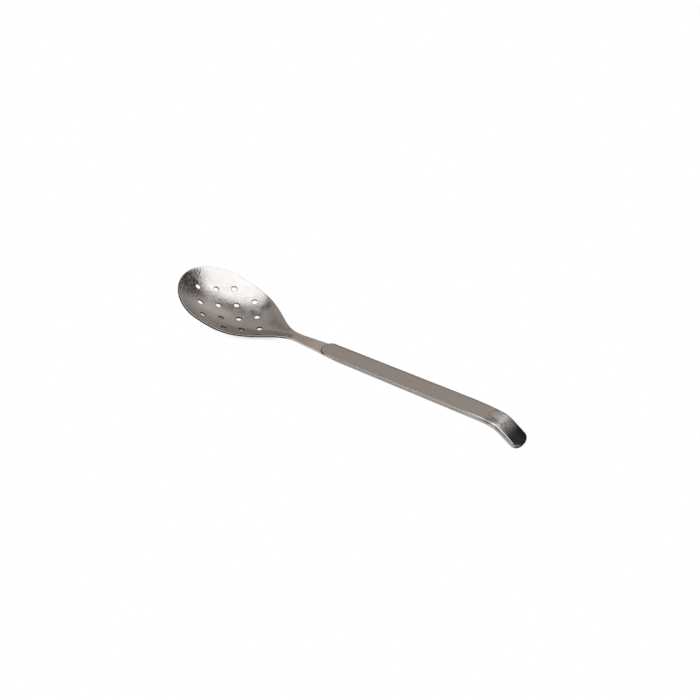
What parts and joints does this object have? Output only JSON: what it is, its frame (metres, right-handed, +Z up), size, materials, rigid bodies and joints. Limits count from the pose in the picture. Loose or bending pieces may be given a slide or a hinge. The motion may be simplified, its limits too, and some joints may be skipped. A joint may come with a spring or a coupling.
{
  "type": "pierced serving spoon",
  "caption": "Pierced serving spoon in satin steel: a shallow oval bowl with drain holes, a narrow neck and a flat covered handle that ends in a hook bent down.",
  "frame": {"origin": "on the surface that the spoon stands on, under the middle of its length and width", "axes": "+X from the bowl's tip to the hook, +Z up, with the spoon standing on its bowl and on the end of its hook"},
  "size_m": [0.2956, 0.0622, 0.0229],
  "materials": {
    "satin_steel": "worn satin steel, polished inside the bowl",
    "cover_steel": "satin steel, finely brushed along the handle",
    "filler_resin": "plain grey filler, hidden"
  },
  "bodies": {
    "root": {"bowl_and_strap": "satin_steel", "handle_cover": "cover_steel", "handle_filler": "filler_resin"}
  },
  "joints": []
}
